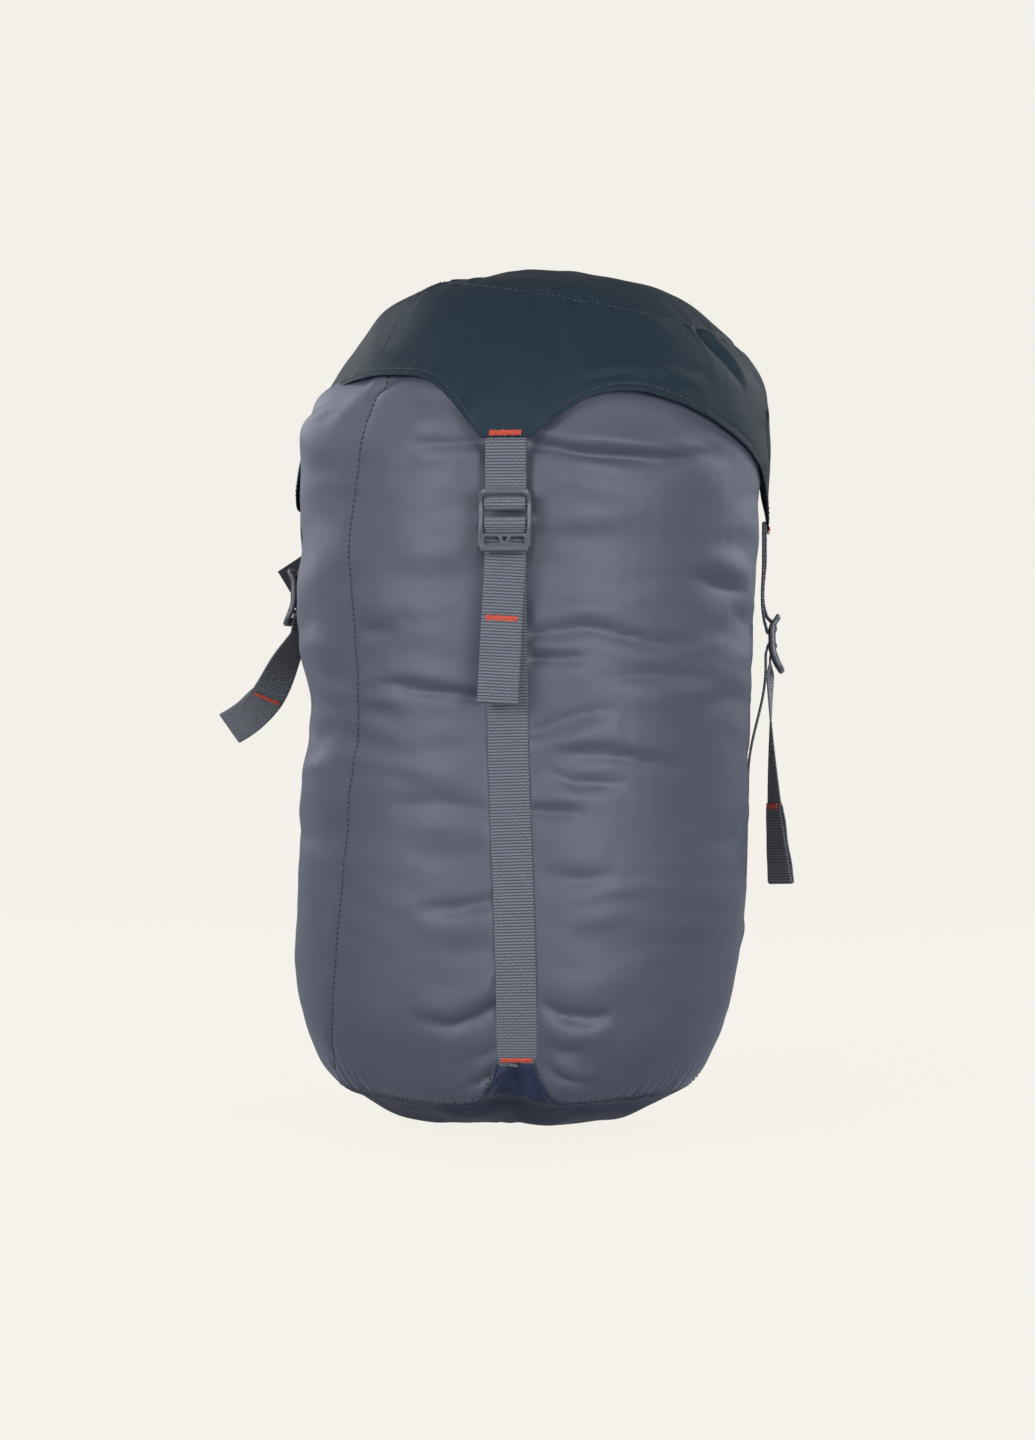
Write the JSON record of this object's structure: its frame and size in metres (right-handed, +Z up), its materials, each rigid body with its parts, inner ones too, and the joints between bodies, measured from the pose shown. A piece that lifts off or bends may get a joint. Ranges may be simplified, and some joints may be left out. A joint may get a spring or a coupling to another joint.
{
  "type": "compression stuff sack",
  "caption": "Packed cylindrical nylon stuff sack with a scalloped lid pulled down by side straps and ladder-lock buckles, and a drawcord mouth under the lid.",
  "frame": {"origin": "centre of the flat that the sack stands on", "axes": "+Z up the sack's axis from base to lid; the front strap is on the -Y side and the right strap on the +X side"},
  "size_m": [0.325, 0.2722, 0.456],
  "materials": {
    "wall_cloth": "smooth coated nylon, faint sheen",
    "base_cloth": "smooth coated nylon, faint sheen",
    "lid_cloth": "smooth coated nylon, faint sheen",
    "seam_tape": "woven tape, matt",
    "webbing": "ribbed nylon webbing",
    "bartack_thread": "polyester thread",
    "buckle_plastic": "satin moulded acetal",
    "cord": "braided cord",
    "cord_lock_plastic": "satin moulded plastic",
    "spring_steel": "drawn wire",
    "tag_card": "smooth stiff card, matt",
    "tag_cord": "thin waxed cord"
  },
  "bodies": {
    "sack": {"base_panel": "base_cloth", "wall_panel": "wall_cloth", "base_seam_binding": "seam_tape", "side_seam_binding": "seam_tape", "cord_channel": "seam_tape", "drawcord": "cord", "front_strap": "webbing", "right_strap": "webbing", "back_strap": "webbing", "left_strap": "webbing", "base_bartacks": "bartack_thread"},
    "lid": {"lid_top": "lid_cloth", "lid_wall": "lid_cloth", "lid_seam_binding": "seam_tape", "lid_bartacks": "bartack_thread", "front_tab": "webbing", "right_tab": "webbing", "back_tab": "webbing", "left_tab": "webbing", "tag_string": "tag_cord"},
    "cord_lock": {"cord_lock_barrel": "cord_lock_plastic", "cord_lock_spring": "spring_steel"},
    "cord_lock_button": {"cord_lock_plunger": "cord_lock_plastic"},
    "tag": {"hang_tag": "tag_card"},
    "front_lock": {"front_buckle": "buckle_plastic", "front_strap_bight": "webbing"},
    "front_hanging_web": {"front_tail": "webbing"},
    "front_folded_end": {"front_tail_end": "webbing", "front_tail_bartack": "bartack_thread"},
    "right_lock": {"right_buckle": "buckle_plastic", "right_strap_bight": "webbing"},
    "right_hanging_web": {"right_tail": "webbing"},
    "right_folded_end": {"right_tail_end": "webbing", "right_tail_bartack": "bartack_thread"},
    "back_lock": {"back_buckle": "buckle_plastic", "back_strap_bight": "webbing"},
    "back_hanging_web": {"back_tail": "webbing"},
    "back_folded_end": {"back_tail_end": "webbing", "back_tail_bartack": "bartack_thread"},
    "left_lock": {"left_buckle": "buckle_plastic", "left_strap_bight": "webbing"},
    "left_hanging_web": {"left_tail": "webbing"},
    "left_folded_end": {"left_tail_end": "webbing", "left_tail_bartack": "bartack_thread"}
  },
  "joints": [
    {"name": "lid_lift", "type": "slide", "parent": "sack", "child": "lid", "axis": [0, 0, 1], "range_m": [0, 0.025], "deforming": ["front_strap", "right_strap", "back_strap", "left_strap"]},
    {"name": "front_tilt", "type": "hinge", "parent": "lid", "child": "front_lock", "pos_m": [0, -0.1285, 0.3215], "axis": [-1, 0, 0], "range_deg": [0, 20]},
    {"name": "front_swing", "type": "hinge", "parent": "front_lock", "child": "front_hanging_web", "pos_m": [0, -0.128, 0.2965], "axis": [-1, 0, 0], "range_deg": [0, 60], "stiffness_Nm_per_rad": 0.02},
    {"name": "front_let_out", "type": "slide", "parent": "front_hanging_web", "child": "front_folded_end", "axis": [0.0523, 0, 0.9986], "range_m": [0, 0.025], "deforming": ["front_tail"]},
    {"name": "right_tilt", "type": "hinge", "parent": "lid", "child": "right_lock", "pos_m": [0.132, 0, 0.265], "axis": [0, -1, 0], "range_deg": [0, 20]},
    {"name": "right_swing", "type": "hinge", "parent": "right_lock", "child": "right_hanging_web", "pos_m": [0.1315, 0, 0.24], "axis": [0, -1, 0], "range_deg": [0, 60], "stiffness_Nm_per_rad": 0.02},
    {"name": "right_let_out", "type": "slide", "parent": "right_hanging_web", "child": "right_folded_end", "axis": [-0.0631, 0, 0.998], "range_m": [0, 0.025], "deforming": ["right_tail"]},
    {"name": "back_tilt", "type": "hinge", "parent": "lid", "child": "back_lock", "pos_m": [0, 0.1285, 0.3], "axis": [1, 0, 0], "range_deg": [0, 20]},
    {"name": "back_swing", "type": "hinge", "parent": "back_lock", "child": "back_hanging_web", "pos_m": [0, 0.128, 0.275], "axis": [1, 0, 0], "range_deg": [0, 60], "stiffness_Nm_per_rad": 0.02},
    {"name": "back_let_out", "type": "slide", "parent": "back_hanging_web", "child": "back_folded_end", "axis": [0.0698, 0, 0.9976], "range_m": [0, 0.025], "deforming": ["back_tail"]},
    {"name": "left_tilt", "type": "hinge", "parent": "lid", "child": "left_lock", "pos_m": [-0.12487, 0.01755, 0.2915], "axis": [0.1392, 0.9903, 0], "range_deg": [0, 20]},
    {"name": "left_swing", "type": "hinge", "parent": "left_lock", "child": "left_hanging_web", "pos_m": [-0.12438, 0.01748, 0.2665], "axis": [0.7071, 0.7071, 0], "range_deg": [-10, 40], "stiffness_Nm_per_rad": 0.02},
    {"name": "left_let_out", "type": "slide", "parent": "left_hanging_web", "child": "left_folded_end", "axis": [0.5681, -0.5681, 0.5955], "range_m": [0, 0.025], "deforming": ["left_tail"]},
    {"name": "cord_lock_slide", "type": "slide", "parent": "sack", "child": "cord_lock", "axis": [0, -1, 0], "range_m": [0, 0.014]},
    {"name": "cord_lock_press", "type": "slide", "parent": "cord_lock", "child": "cord_lock_button", "axis": [-1, 0, 0], "range_m": [0, 0.004], "stiffness_N_per_m": 400, "springref_m": -0.002, "deforming": ["cord_lock_spring"]},
    {"name": "tag_swing", "type": "hinge", "parent": "lid", "child": "tag", "pos_m": [-0.12731, 0.06968, 0.30602], "axis": [-0.5, 0.866, 0], "range_deg": [-10, 10], "stiffness_Nm_per_rad": 0.03}
  ],
  "couplings": [
    {"joint": "front_let_out", "follows": "lid_lift", "ratio": 1},
    {"joint": "right_let_out", "follows": "lid_lift", "ratio": 1},
    {"joint": "back_let_out", "follows": "lid_lift", "ratio": 1},
    {"joint": "left_let_out", "follows": "lid_lift", "ratio": 1}
  ]
}
